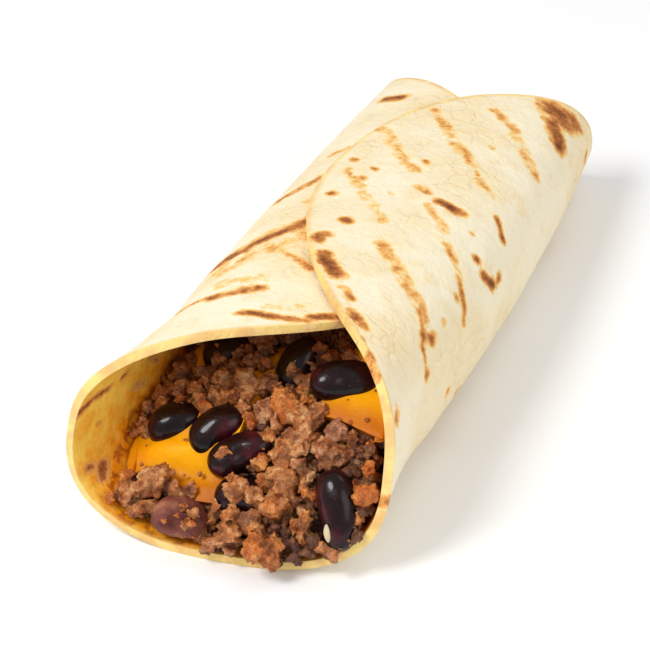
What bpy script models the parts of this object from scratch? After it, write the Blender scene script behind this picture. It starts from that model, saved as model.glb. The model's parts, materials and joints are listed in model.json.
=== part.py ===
"""A burrito: a flour tortilla rolled round ground meat, beans and slices of cheese.

The roll lies along Y with its wide open mouth at -Y and a narrower open end at +Y. One flap of the
tortilla lies over the other on top, and a flat strip underneath rests on z = 0. Lengths are in
millimetres and become metres as each mesh is made.
"""

import math
from bisect import bisect_right

import bpy
import bmesh
from mathutils import Vector, noise

MM = 0.001

# The tortilla, laid flat: an 8-inch round, a little longer round the roll than along it.
SHEET_ROUND = 225.4
SHEET_ALONG = 181.4
THICKNESS = 2.3
LAYER_STEP = 2.75
SHEET_OFFSET = -6.3
SHEET_SKEW = 0.098
SHEET_CELLS = (44, 16)

# The roll's cross-section at its middle, and how it changes along the roll.
HALF_WIDTH = 33.3
WIDTH_TAPER = 0.0059
WIDTH_BARREL = 0.000513
FLARE = 0.00513
FLARE_START = 45.7
HALF_HEIGHT = 20.7
HEIGHT_TAPER = 0.0581
BOW = 0.000213
POWER_BELOW = 2.6
POWER_ABOVE = 2.4
LEAN = 0.149
FLAT_DEPTH = 0.5
SEAM_HALF = 16.0
FLAP_START = 0.2

# The room inside the tortilla: points round it, the stretches of stations (first, last, how many
# steps), and how far short of the flaps and over what share of the girth it gives way to them.
CAVITY_RING = 30
CAVITY_STATIONS = [(-93.0, -38.0, 6), (-19.0, 19.0, 2), (38.0, 93.0, 6)]
FLAP_LEAD = 0.02
FLAP_RAMP = 0.08

# The filling: how high it stands in the roll, and how its two ends slope.
FILL_SHARE = 0.617
FILL_TILT = 0.00596
FILL_CROWN = 0.0000957
FRONT_FOOT = -90.0
FRONT_SLOPE = 42.0
BACK_FOOT = 84.0
BACK_SLOPE = 30.0
FOOT_HEIGHT = 3.0
CEILING_RISE = 30.0
LUMP_HEIGHT = 1.3
LUMP_SIZE = 6.5

EDGE_FALL = 8.0
EDGE_REACH = 5.0
MEAT_REACH = 46.0
MEAT_COLUMNS = 19
MEAT_STATIONS = [(-94.0, -34.0, 14), (-4.0, 34.0, 1), (50.0, 92.0, 9)]
MEAT_FLOOR = -5.0

CLEARANCE = 0.4
WALL_CLEARANCE = 1.0

# The two slices of cheese: left, right, front and back edges, and the wave in the right one.
CHEESE_THICKNESS = 2.2
CHEESE_LIFT = 1.0
CHEESE_LEFT = (-46.0, -3.0, -82.0, 78.0)
CHEESE_RIGHT = (12.0, 46.0, -66.5, 66.0)
CHEESE_COLUMNS = 4
EDGE_WAVE = 1.5
EDGE_WAVE_SIZE = 9.0

# The box round the finished burrito is centred on the origin.
CENTRE_X = -2.8
CENTRE_Y = -2.0

# Beans: centre x, y, z, heading, pitch, roll in degrees, then length.
BEANS = [
    (-15.2, -46.4, 24.0, 22, -4, 20, 15.0),
    (2.4, -52.0, 28.8, 81, 49, 0, 14.0),
    (15.3, -56.4, 31.8, 24, 3, -25, 14.5),
    (-21.0, -67.6, 17.2, 30, 12, 60, 13.0),
    (-10.4, -69.4, 20.0, 47, 30, 10, 13.0),
    (-2.6, -73.0, 18.4, 37, 19, -20, 15.5),
    (23.0, -79.4, 14.8, -57, -54, 30, 17.5),
    (23.8, -62.4, 19.0, 84, 40, 0, 14.0),
    (-22.4, -80.4, 9.4, 10, 0, 0, 13.0),
    (1.0, -79.6, 12.0, 15, 0, 0, 13.0),
    (-11.6, -87.0, 7.6, 10, -4, 0, 12.0),
    (-12.0, 66.0, 17.0, 150, -10, 20, 14.5),
    (9.0, 70.5, 13.5, 20, -14, -20, 15.0),
    (-3.0, 79.5, 8.0, 10, -8, 0, 14.0),
    (17.0, 62.0, 21.0, 80, -30, 0, 14.5),
]
BEAN_WIDTH = 8.8
BEAN_DEPTH = 7.8
BEAN_BEND = 1.3
BEAN_CELLS = (10, 6)

# Large lumps of meat: centre x, y, z, then length, width and height.
LUMPS = [
    (9.6, -90.2, 7.2, 10.0, 9.0, 9.0),
    (18.4, -71.4, 23.6, 9.0, 8.6, 8.6),
    (16.6, -83.6, 11.0, 6.6, 6.6, 9.0),
    (0.2, -88.0, 6.8, 8.0, 7.4, 7.2),
]
LUMP_HEADING = 20

FLOUR_COLOUR = (0.82, 0.69, 0.43)
MEAT_COLOUR = (0.21, 0.08, 0.035)
LUMP_COLOUR = (0.18, 0.06, 0.03)
BEAN_COLOUR = (0.025, 0.007, 0.01)
CHEESE_COLOUR = (0.9, 0.42, 0.03)


def half_width(y):
    flare = max(0.0, -y - FLARE_START)
    return HALF_WIDTH - WIDTH_TAPER * y - WIDTH_BARREL * y * y + FLARE * flare * flare


def half_height(y):
    return HALF_HEIGHT - HEIGHT_TAPER * y


def signed_power(value, power):
    return math.copysign(abs(value) ** power, value)


def smooth_step(value):
    value = min(1.0, max(0.0, value))
    return value * value * (3.0 - 2.0 * value)


class Section:
    """The roll's outer outline at one station, measured round from the middle of its underside."""

    STEPS = 180
    SLOPE_STEP = 0.6

    def __init__(self, y):
        self.width = half_width(y)
        self.height = half_height(y)
        self.points = [self.outline(2.0 * math.pi * i / self.STEPS, y) for i in range(self.STEPS + 1)]
        self.round = [0.0]
        for before, after in zip(self.points, self.points[1:]):
            self.round.append(self.round[-1] + (after - before).length)
        self.girth = self.round[-1]

    def outline(self, turn, y):
        across, up = math.sin(turn), -math.cos(turn)
        power = 2.0 / (POWER_BELOW if up < 0 else POWER_ABOVE)
        x = self.width * signed_power(across, power)
        z = self.height * signed_power(up, power)
        if z > 0:
            z *= 1.0 + LEAN * x / self.width
        z = max(z, FLAT_DEPTH - self.height) + self.height - FLAT_DEPTH
        return Vector((x - BOW * y * y, z))

    def at(self, distance):
        distance %= self.girth
        i = min(self.STEPS - 1, bisect_right(self.round, distance) - 1)
        share = (distance - self.round[i]) / max(1e-9, self.round[i + 1] - self.round[i])
        return self.points[i].lerp(self.points[i + 1], share)

    def inside(self, distance, depth):
        """The point this far round and this deep below the outer outline."""
        tangent = (self.at(distance + self.SLOPE_STEP) - self.at(distance - self.SLOPE_STEP)).normalized()
        return self.at(distance) - depth * Vector((tangent.y, -tangent.x))

    def seam(self, distance):
        """0 before the seam on top, 1 past it, with an even step between."""
        place = distance % self.girth
        return smooth_step((place - self.girth / 2 + SEAM_HALF) / (2 * SEAM_HALF))


def wrap(round_roll, y):
    """Where a point of the flat tortilla comes to lie; the -X flap tucks under the +X flap."""
    section = Section(y)
    depth = 0.0
    if round_roll > section.girth * FLAP_START:
        depth = -LAYER_STEP * section.seam(round_roll)
    if round_roll < -section.girth * FLAP_START:
        depth = LAYER_STEP * (1.0 - section.seam(round_roll))
    place = section.inside(round_roll, depth)
    return Vector((place.x, y, place.y))


def fill_level(x, y):
    """The height of the filling inside the closed stretch of the roll."""
    return 2.0 * half_height(y) * (FILL_SHARE + FILL_TILT * x - FILL_CROWN * x * x)


def slope_share(y):
    """1 inside the roll, falling to 0 where the filling ends at the mouth and at the back."""
    front = (y - FRONT_FOOT) / FRONT_SLOPE
    back = (BACK_FOOT - y) / BACK_SLOPE
    return math.sin(math.pi / 2 * min(1.0, max(0.0, min(front, back))))


def layer_height(x, y):
    """The smooth surface that cheese and beans lie on."""
    return FOOT_HEIGHT + (fill_level(x, y) - FOOT_HEIGHT) * slope_share(y)


def heap_height(x, y):
    """The meat's lumpy top, which rises to the tortilla above it inside the roll."""
    inside = min(y - FRONT_FOOT - FRONT_SLOPE, BACK_FOOT - BACK_SLOPE - y)
    rise = 2.0 * half_height(y) * smooth_step(inside / CEILING_RISE)
    lumps = LUMP_HEIGHT * noise.noise(Vector((x, y, 0.0)) / LUMP_SIZE)
    past_foot = max(FRONT_FOOT - y, y - BACK_FOOT) / EDGE_REACH + 0.5
    return layer_height(x, y) + rise + lumps - EDGE_FALL * smooth_step(past_foot)


def material(name, colour, roughness):
    made = bpy.data.materials.new(name)
    made.use_nodes = True
    shader = made.node_tree.nodes["Principled BSDF"]
    shader.inputs["Base Color"].default_value = (*colour, 1.0)
    shader.inputs["Roughness"].default_value = roughness
    made.diffuse_color = (*colour, 1.0)
    return made


def add_object(name, mesh, parent, look=None):
    """Put a mesh in the scene as a piece, or as a hidden cutter if it has no material."""
    made = bpy.data.objects.new(name, mesh)
    bpy.context.scene.collection.objects.link(made)
    made.parent = parent
    if look:
        mesh.materials.append(look)
    else:
        made.hide_render = True
        made.display_type = 'WIRE'
    return made


def mesh_from(name, shape):
    """Turn a bmesh drawn in millimetres into a mesh in metres."""
    bmesh.ops.scale(shape, vec=(MM, MM, MM), verts=shape.verts)
    bmesh.ops.recalc_face_normals(shape, faces=shape.faces)
    mesh = bpy.data.meshes.new(name)
    shape.to_mesh(mesh)
    shape.free()
    mesh.shade_smooth()
    mesh.set_sharp_from_angle(angle=math.radians(50))
    return mesh


def keep_within(piece, cutter):
    modifier = piece.modifiers.new("within", 'BOOLEAN')
    modifier.operation = 'INTERSECT'
    modifier.object = cutter
    modifier.solver = 'EXACT'


def make_room(piece, name, cutters):
    """Clear room in a piece for all these cutters, which cross one another."""
    group = bpy.data.collections.new(name)
    for cutter in cutters:
        group.objects.link(cutter)
    modifier = piece.modifiers.new(name, 'BOOLEAN')
    modifier.operation = 'DIFFERENCE'
    modifier.operand_type = 'COLLECTION'
    modifier.collection = group
    modifier.solver = 'MANIFOLD'


def body_of(face, left):
    """Take the faces joined to this one, edge by edge, out of those left."""
    body = [face]
    left.discard(face)
    for member in body:
        for edge in member.edges:
            if len(edge.link_faces) == 2:
                joined = [other for other in edge.link_faces if other in left]
                left.difference_update(joined)
                body.extend(joined)
    return body


def drop_flakes(piece):
    """Apply the cuts and keep the one large body, without the slivers between two cuts."""
    shape = bmesh.new()
    shape.from_object(piece, bpy.context.evaluated_depsgraph_get())
    bmesh.ops.triangulate(shape, faces=shape.faces)
    left = set(shape.faces)
    bodies = []
    for face in shape.faces:
        if face in left:
            bodies.append(body_of(face, left))
    bodies.sort(key=len)
    for flake in bodies[:-1]:
        bmesh.ops.delete(shape, geom=flake, context='FACES')
    piece.modifiers.clear()
    shape.to_mesh(piece.data)
    shape.free()


def make_tortilla(parent, look):
    shape = bmesh.new()
    bmesh.ops.create_grid(shape, x_segments=SHEET_CELLS[0], y_segments=SHEET_CELLS[1], size=1.0)
    for vert in shape.verts:
        across, along = vert.co.x, vert.co.y
        y = SHEET_ALONG / 2 * along * math.sqrt(1 - across * across / 2)
        round_roll = SHEET_ROUND / 2 * across * math.sqrt(1 - along * along / 2)
        vert.co = wrap(round_roll + SHEET_OFFSET + SHEET_SKEW * y, y)
    for face in shape.faces:
        face.normal_flip()
    bmesh.ops.scale(shape, vec=(MM, MM, MM), verts=shape.verts)
    mesh = bpy.data.meshes.new("tortilla")
    shape.to_mesh(mesh)
    shape.free()
    mesh.shade_smooth()
    tortilla = add_object("tortilla", mesh, parent, look)
    solid = tortilla.modifiers.new("thickness", 'SOLIDIFY')
    solid.thickness = THICKNESS * MM
    solid.offset = -1.0
    return tortilla


def make_cavity(parent):
    """The room inside the rolled tortilla, just clear of its inner face."""
    shape = bmesh.new()
    rings = []
    for y in stations(CAVITY_STATIONS):
        section = Section(y)
        ring = []
        for j in range(CAVITY_RING):
            distance = section.girth * j / CAVITY_RING
            under_flap = smooth_step((j / CAVITY_RING - FLAP_START + FLAP_LEAD) / FLAP_RAMP)
            depth = THICKNESS + WALL_CLEARANCE
            depth += LAYER_STEP * (1.0 - section.seam(distance)) * under_flap
            place = section.inside(distance, depth)
            ring.append(shape.verts.new((place.x, y, place.y)))
        rings.append(ring)
    for before, after in zip(rings, rings[1:]):
        for j in range(CAVITY_RING):
            k = (j + 1) % CAVITY_RING
            shape.faces.new((before[j], before[k], after[k], after[j]))
    shape.faces.new(rings[0])
    shape.faces.new(rings[-1])
    return add_object("cavity", mesh_from("cavity", shape), parent)


def height_block(name, columns, rows, top, bottom):
    """A closed block whose top and bottom follow two height functions over a grid."""
    shape = bmesh.new()
    upper = [[shape.verts.new((x, y, top(x, y))) for x in columns(y)] for y in rows]
    lower = [[shape.verts.new((x, y, bottom(x, y))) for x in columns(y)] for y in rows]
    last_row, last_column = len(upper) - 1, len(upper[0]) - 1
    for i in range(last_row):
        for j in range(last_column):
            for sheet in (upper, lower):
                shape.faces.new((sheet[i][j], sheet[i][j + 1], sheet[i + 1][j + 1], sheet[i + 1][j]))
    edge = [(0, j) for j in range(last_column)] + [(i, last_column) for i in range(last_row)]
    edge += [(last_row, j) for j in range(last_column, 0, -1)] + [(i, 0) for i in range(last_row, 0, -1)]
    for (i, j), (k, m) in zip(edge, edge[1:] + edge[:1]):
        shape.faces.new((upper[i][j], upper[k][m], lower[k][m], lower[i][j]))
    return mesh_from(name, shape)


def spread(first, last, count):
    return [first + (last - first) * i / count for i in range(count + 1)]


def stations(stretches):
    return [place for stretch in stretches for place in spread(*stretch)]


def make_meat(parent, look, cavity):
    def columns(y):
        return spread(-MEAT_REACH, MEAT_REACH, MEAT_COLUMNS)

    def floor(x, y):
        return MEAT_FLOOR

    mesh = height_block("ground_meat", columns, stations(MEAT_STATIONS), heap_height, floor)
    meat = add_object("ground_meat", mesh, parent, look)
    keep_within(meat, cavity)
    return meat


def cheese_block(name, left, right, front, back, grow):
    """A slice that lies on the filling; grow makes the larger block that clears room for it."""
    def columns(y):
        return spread(left - grow, right + grow + EDGE_WAVE * math.sin(y / EDGE_WAVE_SIZE), CHEESE_COLUMNS)

    def top(x, y):
        return layer_height(x, y) + CHEESE_LIFT + grow

    def bottom(x, y):
        return top(x, y) - CHEESE_THICKNESS - 2 * grow

    rows = spread(front - grow, -45.0, 6) + spread(-22.0, 22.0, 2) + spread(45.0, back + grow, 5)
    return height_block(name, columns, rows, top, bottom)


def make_cheese(name, limits, parent, look, cavity):
    cheese = add_object(name, cheese_block(name, *limits, 0.0), parent, look)
    keep_within(cheese, cavity)
    room = add_object(name + "_room", cheese_block(name + "_room", *limits, CLEARANCE), parent)
    return cheese, room


def bean_mesh(name, length, width, depth, bend):
    shape = bmesh.new()
    bmesh.ops.create_uvsphere(shape, u_segments=BEAN_CELLS[0], v_segments=BEAN_CELLS[1], radius=0.5)
    for vert in shape.verts:
        along = vert.co.z * 2.0
        vert.co = Vector((vert.co.z * length, vert.co.y * width - bend * along * along, vert.co.x * depth))
    return mesh_from(name, shape)


def place(piece, spot, turn):
    piece.location = Vector(spot) * MM
    piece.rotation_euler = [math.radians(angle) for angle in turn]


def make_whole(name, sizes, bend, spot, turn, parent, look):
    """A bean or lump, and the slightly larger cutter that clears room for it."""
    piece = add_object(name, bean_mesh(name, *sizes, bend), parent, look)
    grown = [size + 2 * CLEARANCE for size in sizes]
    room = add_object(name + "_room", bean_mesh(name + "_room", *grown, bend), parent)
    for made in (piece, room):
        place(made, spot, turn)
    return room


def make_burrito():
    for old in list(bpy.data.objects):
        bpy.data.objects.remove(old)
    base = bpy.data.objects.new("base", None)
    bpy.context.scene.collection.objects.link(base)
    base.location = (-CENTRE_X * MM, -CENTRE_Y * MM, 0.0)

    make_tortilla(base, material("toasted_flour", FLOUR_COLOUR, 0.75))
    cavity = make_cavity(base)
    meat = make_meat(base, material("browned_meat", MEAT_COLOUR, 0.6), cavity)

    rooms = []
    for i, (x, y, z, heading, pitch, roll, length) in enumerate(BEANS):
        look = material("bean_skin_%d" % (i + 1), BEAN_COLOUR, 0.25)
        sizes = (length, BEAN_WIDTH, BEAN_DEPTH)
        rooms.append(make_whole("bean_%d" % (i + 1), sizes, BEAN_BEND, (x, y, z),
                                (roll, -pitch, heading), base, look))
    for i, (x, y, z, *sizes) in enumerate(LUMPS):
        look = material("lump_%d" % (i + 1), LUMP_COLOUR, 0.6)
        turn = (0, 0, LUMP_HEADING)
        rooms.append(make_whole("meat_lump_%d" % (i + 1), sizes, 0.0, (x, y, z), turn, base, look))

    slices = []
    for name, limits in (("cheese_left", CHEESE_LEFT), ("cheese_right", CHEESE_RIGHT)):
        look = material(name + "_slice", CHEESE_COLOUR, 0.35)
        slices.append(make_cheese(name, limits, base, look, cavity))
    for cheese, room in slices:
        make_room(cheese, "beans_in_" + cheese.name, rooms)
        drop_flakes(cheese)
    make_room(meat, "everything_in_meat", rooms + [room for cheese, room in slices])
    drop_flakes(meat)


make_burrito()
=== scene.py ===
import json
import math
import random

import bpy
import numpy as np
from mathutils import Euler, Matrix, Vector, noise
from mathutils.bvhtree import BVHTree

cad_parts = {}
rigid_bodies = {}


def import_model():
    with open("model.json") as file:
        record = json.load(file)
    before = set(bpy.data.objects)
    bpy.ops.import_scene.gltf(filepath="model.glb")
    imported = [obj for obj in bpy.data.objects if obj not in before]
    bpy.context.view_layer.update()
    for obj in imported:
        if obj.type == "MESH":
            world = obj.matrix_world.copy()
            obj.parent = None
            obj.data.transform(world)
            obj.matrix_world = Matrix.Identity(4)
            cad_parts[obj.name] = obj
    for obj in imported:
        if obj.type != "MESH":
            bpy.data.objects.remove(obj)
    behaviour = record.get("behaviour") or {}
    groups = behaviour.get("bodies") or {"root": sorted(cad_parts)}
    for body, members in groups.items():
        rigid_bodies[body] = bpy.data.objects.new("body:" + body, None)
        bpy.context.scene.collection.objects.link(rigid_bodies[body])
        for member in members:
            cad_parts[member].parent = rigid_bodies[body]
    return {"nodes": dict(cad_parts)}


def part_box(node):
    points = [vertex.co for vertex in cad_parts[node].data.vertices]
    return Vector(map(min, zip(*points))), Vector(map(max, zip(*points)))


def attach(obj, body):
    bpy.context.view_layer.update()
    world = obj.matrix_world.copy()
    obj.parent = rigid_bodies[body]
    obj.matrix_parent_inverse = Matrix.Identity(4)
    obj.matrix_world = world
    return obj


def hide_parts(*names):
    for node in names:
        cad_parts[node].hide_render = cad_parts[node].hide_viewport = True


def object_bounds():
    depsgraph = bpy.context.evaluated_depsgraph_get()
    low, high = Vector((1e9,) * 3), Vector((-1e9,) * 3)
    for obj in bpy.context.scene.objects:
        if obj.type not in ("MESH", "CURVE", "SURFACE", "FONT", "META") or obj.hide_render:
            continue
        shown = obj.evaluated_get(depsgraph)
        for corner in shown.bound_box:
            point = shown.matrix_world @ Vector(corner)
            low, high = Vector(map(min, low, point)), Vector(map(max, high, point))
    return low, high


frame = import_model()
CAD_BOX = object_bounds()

MM = 0.001

# ---------------------------------------------------------------------------------------------
# The roll. The same rule as the solid's: a flat round sheet is wrapped round this cross-section.
# Lengths in millimetres, measured from the middle of the roll.
# ---------------------------------------------------------------------------------------------

# the sheet: across it round the roll and along it, its dough, and how it is laid
SHEET_ROUND = 225.4
SHEET_ALONG = 181.4
THICKNESS = 2.3
LAYER_STEP = 2.75
SHEET_OFFSET = -6.3
SHEET_SKEW = 0.098

# the cross-section: half width and half height in the middle, and how they change along the roll
HALF_WIDTH = 33.3
WIDTH_TAPER = 0.0059
WIDTH_BARREL = 0.000513
FLARE = 0.00513
FLARE_START = 45.7
HALF_HEIGHT = 20.7
HEIGHT_TAPER = 0.0581
BOW = 0.000213

# the outline's squareness below and above, its higher +X side, its flat underside and its seam
POWER_BELOW = 2.6
POWER_ABOVE = 2.4
LEAN = 0.149
FLAT_DEPTH = 0.5
SEAM_HALF = 16.0

# where the middle of the roll lies in the model's frame
ROLL_PLACE = Vector((2.8, 2.0, 0.0))


def smooth(low, high, value):
    """0 below low, 1 above high, and a soft step between them."""
    share = np.clip((np.asarray(value, float) - low) / (high - low), 0.0, 1.0)
    return share * share * (3.0 - 2.0 * share)


class Section:
    """The roll's outer outline at one place along it, measured round from the underside's middle."""

    STEPS = 360
    NEARBY = 0.6

    def __init__(self, y):
        flare = max(0.0, -y - FLARE_START)
        width = HALF_WIDTH - WIDTH_TAPER * y - WIDTH_BARREL * y * y + FLARE * flare * flare
        height = HALF_HEIGHT - HEIGHT_TAPER * y
        turn = np.linspace(0.0, 2.0 * math.pi, self.STEPS + 1)
        across, up = np.sin(turn), -np.cos(turn)
        power = 2.0 / np.where(up < 0, POWER_BELOW, POWER_ABOVE)
        x = width * np.sign(across) * np.abs(across) ** power
        z = height * np.sign(up) * np.abs(up) ** power
        z = np.where(z > 0, z * (1.0 + LEAN * x / width), z)
        self.z = np.maximum(z, FLAT_DEPTH - height) + height - FLAT_DEPTH
        self.x = x - BOW * y * y
        steps = np.hypot(np.diff(self.x), np.diff(self.z))
        self.round = np.concatenate(([0.0], np.cumsum(steps)))
        self.girth = self.round[-1]

    def at(self, distance):
        """Points of the outline this far round."""
        distance = np.mod(distance, self.girth)
        return np.interp(distance, self.round, self.x), np.interp(distance, self.round, self.z)

    def inside(self, distance, depth):
        """Points this far round, and this deep below the outline."""
        x, z = self.at(distance)
        ahead, behind = self.at(distance + self.NEARBY), self.at(distance - self.NEARBY)
        run, rise = ahead[0] - behind[0], ahead[1] - behind[1]
        length = np.hypot(run, rise) + 1e-9
        return x - depth * rise / length, z + depth * run / length

    def layer_depth(self, distance):
        """How deep each layer lies: the -X flap tucks under the +X flap at the seam on top."""
        seam = smooth(-SEAM_HALF, SEAM_HALF, np.mod(distance, self.girth) - self.girth / 2)
        over = np.where(distance > 0.2 * self.girth, -LAYER_STEP * seam, 0.0)
        under = np.where(distance < -0.2 * self.girth, LAYER_STEP * (1.0 - seam), 0.0)
        return over + under


FIRST_SECTION = -96.0
SECTION_GAP = 1.5
SECTIONS = [Section(FIRST_SECTION + SECTION_GAP * i) for i in range(129)]


def wrap(distance, y, depth):
    """Roll up points of the flat sheet: arrays of places, in metres."""
    place = np.clip((y - FIRST_SECTION) / SECTION_GAP, 0.0, len(SECTIONS) - 1.001)
    before = place.astype(int)
    share = place - before
    made = np.zeros((len(distance), 3))
    made[:, 1] = y + ROLL_PLACE.y
    for i in np.unique(before):
        here = before == i
        for section, weight in ((SECTIONS[i], 1.0 - share[here]), (SECTIONS[i + 1], share[here])):
            layer = section.layer_depth(distance[here])
            x, z = section.inside(distance[here], layer + depth[here])
            made[here, 0] += x * weight
            made[here, 2] += z * weight
    made[:, 0] += ROLL_PLACE.x
    return made * MM


# ---------------------------------------------------------------------------------------------
# Small helpers
# ---------------------------------------------------------------------------------------------


def deselect():
    """Leave edit mode with nothing selected."""
    if bpy.context.object and bpy.context.object.mode != 'OBJECT':
        bpy.ops.object.mode_set(mode='OBJECT')
    bpy.ops.object.select_all(action='DESELECT')


def only(piece):
    """Select one piece and make it the active one."""
    deselect()
    piece.select_set(True)
    bpy.context.view_layer.objects.active = piece


def apply_modifiers(piece):
    only(piece)
    for modifier in list(piece.modifiers):
        bpy.ops.object.modifier_apply(modifier=modifier.name)


def settle(piece):
    """Bring a piece's place, turn and size into its mesh."""
    only(piece)
    bpy.ops.object.transform_apply(location=True, rotation=True, scale=True)


def points_of(mesh):
    flat = np.empty(len(mesh.vertices) * 3)
    mesh.vertices.foreach_get("co", flat)
    return flat.reshape(-1, 3)


def set_points(mesh, points):
    mesh.vertices.foreach_set("co", np.asarray(points, float).ravel())
    mesh.update()


def add_values(mesh, name, values):
    """Store one number for each point, for the materials to read."""
    layer = mesh.attributes.new(name, 'FLOAT', 'POINT')
    layer.data.foreach_set("value", np.asarray(values, np.float32))


def three(rng, low, high):
    """Three random numbers, one for each axis."""
    return [rng.uniform(low, high) for _ in range(3)]


def any_turn(rng):
    return Euler(three(rng, 0, math.tau)).to_matrix().to_4x4()


def near_face(rng, centre, area):
    """A random point about as far from a face's centre as the face is wide."""
    return centre + Vector(three(rng, -1, 1)) * 0.5 * math.sqrt(area)


def noise_at(points, size, seed=0.0):
    """Smooth noise, about -1 to 1, whose lumps are this wide."""
    shift = Vector((seed, seed * 1.7, seed * 0.6))
    return np.array([noise.noise(Vector(point) / size + shift) for point in points])


def finish_piece(piece, look, slot, *nodes):
    """Give a piece its material, its body and the solids that it stands for. The slot is not used."""
    piece.data.materials.clear()
    piece.data.materials.append(look)
    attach(piece, "root")
    if nodes:
        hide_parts(*nodes)


def colour(code):
    """Turn an sRGB hex colour into linear light."""
    parts = [int(code[i:i + 2], 16) / 255.0 for i in (1, 3, 5)]
    return tuple(p / 12.92 if p <= 0.04045 else ((p + 0.055) / 1.055) ** 2.4 for p in parts) + (1.0,)


def new_material(name):
    """A new material, its node tree and its shader."""
    made = bpy.data.materials.new(name)
    made.use_nodes = True
    return made, made.node_tree, made.node_tree.nodes["Principled BSDF"]


def add(tree, kind, inputs, **settings):
    """Add one node: settings on the node itself, and values or links into its sockets."""
    made = tree.nodes.new(kind)
    for name, value in settings.items():
        setattr(made, name, value)
    for socket, value in inputs.items():
        if isinstance(value, bpy.types.NodeSocket):
            tree.links.new(value, made.inputs[socket])
        else:
            made.inputs[socket].default_value = value
    return made


def ramp(tree, factor, stops):
    """A colour ramp through (place, colour) stops."""
    made = add(tree, "ShaderNodeValToRGB", {"Fac": factor})
    while len(made.color_ramp.elements) < len(stops):
        made.color_ramp.elements.new(0.5)
    for element, (place, tint) in zip(made.color_ramp.elements, stops):
        element.position = place
        element.color = tint
    return made.outputs["Color"]


def mix(tree, factor, first, second):
    """The first colour where the factor is 0, the second where it is 1."""
    return add(tree, "ShaderNodeMix", {0: factor, 6: first, 7: second}, data_type='RGBA').outputs[2]


def maths(tree, operation, first, second=0.0):
    return add(tree, "ShaderNodeMath", {0: first, 1: second}, operation=operation).outputs[0]


def noise_node(tree, vector, size, detail=3.0, roughness=0.5):
    """Noise whose lumps are this many millimetres wide."""
    inputs = {"Vector": vector, "Scale": 1.0 / (size * MM), "Detail": detail, "Roughness": roughness}
    return add(tree, "ShaderNodeTexNoise", inputs).outputs["Fac"]


def value_of(tree, name):
    """A number stored on the mesh by add_values."""
    return add(tree, "ShaderNodeAttribute", {}, attribute_name=name).outputs["Fac"]


def object_place(tree):
    return add(tree, "ShaderNodeTexCoord", {}).outputs["Object"]


def between(tree, low, high, value):
    """0 below low, 1 above high, and a soft step between them."""
    made = add(tree, "ShaderNodeMapRange", {"Value": value, "From Min": low, "From Max": high},
               interpolation_type='SMOOTHSTEP')
    return made.outputs["Result"]


def bump(tree, height, depth, before=None):
    """Relief this many millimetres deep, on top of the relief before it."""
    inputs = {"Height": height, "Distance": depth * MM, "Strength": 1.0}
    if before:
        inputs["Normal"] = before
    return add(tree, "ShaderNodeBump", inputs).outputs["Normal"]


# ---------------------------------------------------------------------------------------------
# Materials
# ---------------------------------------------------------------------------------------------


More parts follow.
